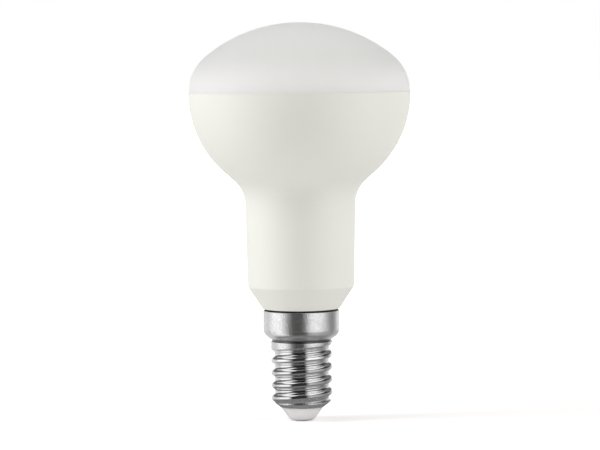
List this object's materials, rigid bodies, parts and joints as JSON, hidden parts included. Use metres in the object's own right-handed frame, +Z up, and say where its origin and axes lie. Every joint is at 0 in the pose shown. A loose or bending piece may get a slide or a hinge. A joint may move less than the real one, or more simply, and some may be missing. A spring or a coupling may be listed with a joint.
{
  "type": "reflector bulb",
  "caption": "Reflector bulb with a shallow opal dome on a white mushroom-shaped housing with a long neck, and a small metal screw cap; gives a wide soft beam.",
  "frame": {"origin": "middle of the end contact's face", "axes": "+Z up the lamp's axis, from the end contact to the crown of the dome; the thread's groove runs out under the plain band from +X towards +Y"},
  "size_m": [0.05, 0.05, 0.0897],
  "materials": {
    "diffuser": "satin opal moulding",
    "housing": "satin white moulding",
    "cap_metal": "bright nickel plate over drawn sheet",
    "insulator": "smooth pale moulding",
    "contact_metal": "dull plated rivet head"
  },
  "bodies": {
    "root": {"diffuser": "diffuser", "housing": "housing", "screw_cap": "cap_metal", "insulator": "insulator", "centre_contact": "contact_metal"}
  },
  "joints": []
}
